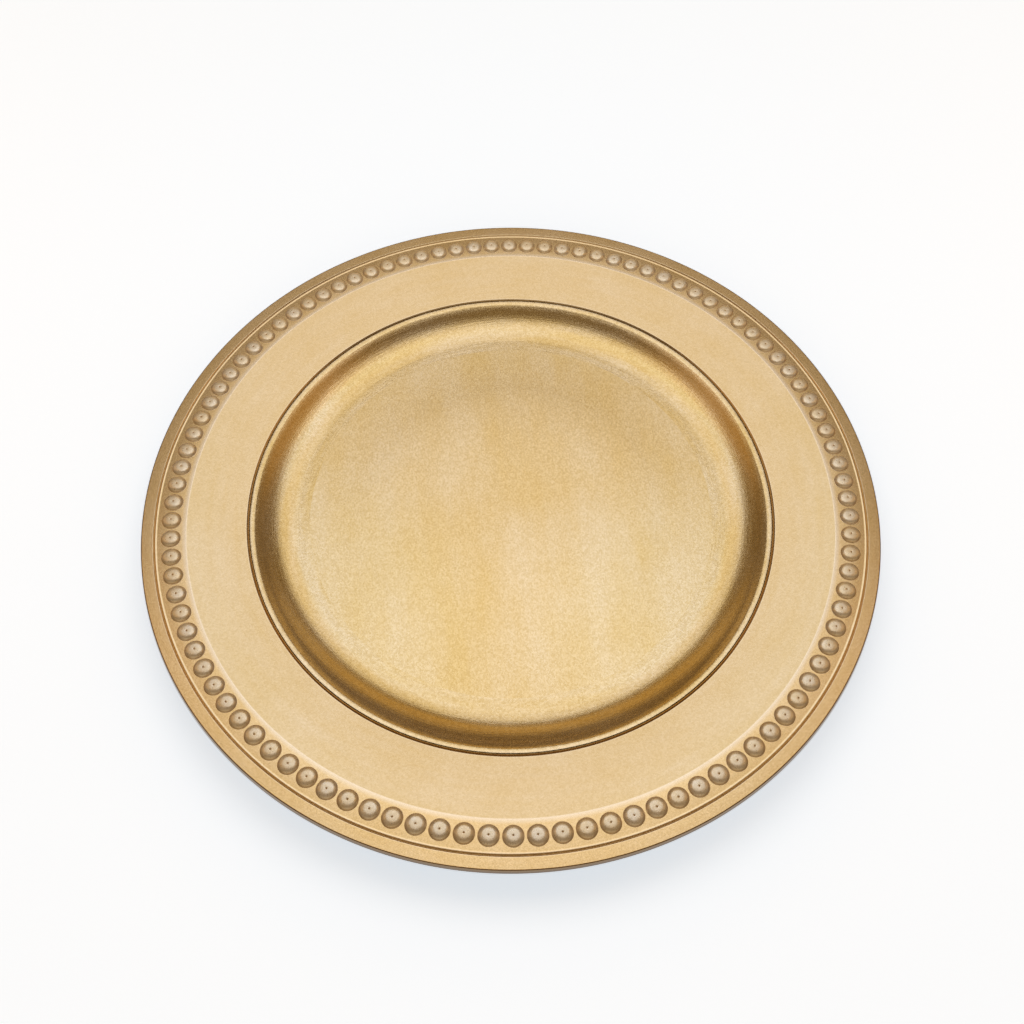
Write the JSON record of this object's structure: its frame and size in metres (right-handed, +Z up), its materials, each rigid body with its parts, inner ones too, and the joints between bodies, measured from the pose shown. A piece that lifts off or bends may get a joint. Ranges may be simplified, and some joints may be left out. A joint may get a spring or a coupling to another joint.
{
  "type": "charger plate",
  "caption": "Round shallow charger plate with a wide sloping rim, a beaded border and a low foot ring.",
  "frame": {"origin": "centre of the circle on which the foot ring stands, on the table plane", "axes": "+Z up, out of the well, along the axis that the plate turns about; X and Y lie in the table plane, with +Y away from the viewer in the picture"},
  "size_m": [0.33, 0.33, 0.0195],
  "materials": {
    "brushed_gold": "metallic gold paint over moulded plastic, brushed in straight strokes",
    "turned_gold": "metallic gold paint over moulded plastic, brushed in circles",
    "satin_gold": "satin metallic gold paint over moulded plastic",
    "bead_gold": "pale satin metallic gold paint over moulded plastic"
  },
  "bodies": {
    "root": {"well_floor": "brushed_gold", "well_wall": "turned_gold", "well_roll": "turned_gold", "rim": "satin_gold", "bead_band": "satin_gold", "beads": "bead_gold", "outer_lip": "satin_gold", "foot_ring": "satin_gold"}
  },
  "joints": []
}
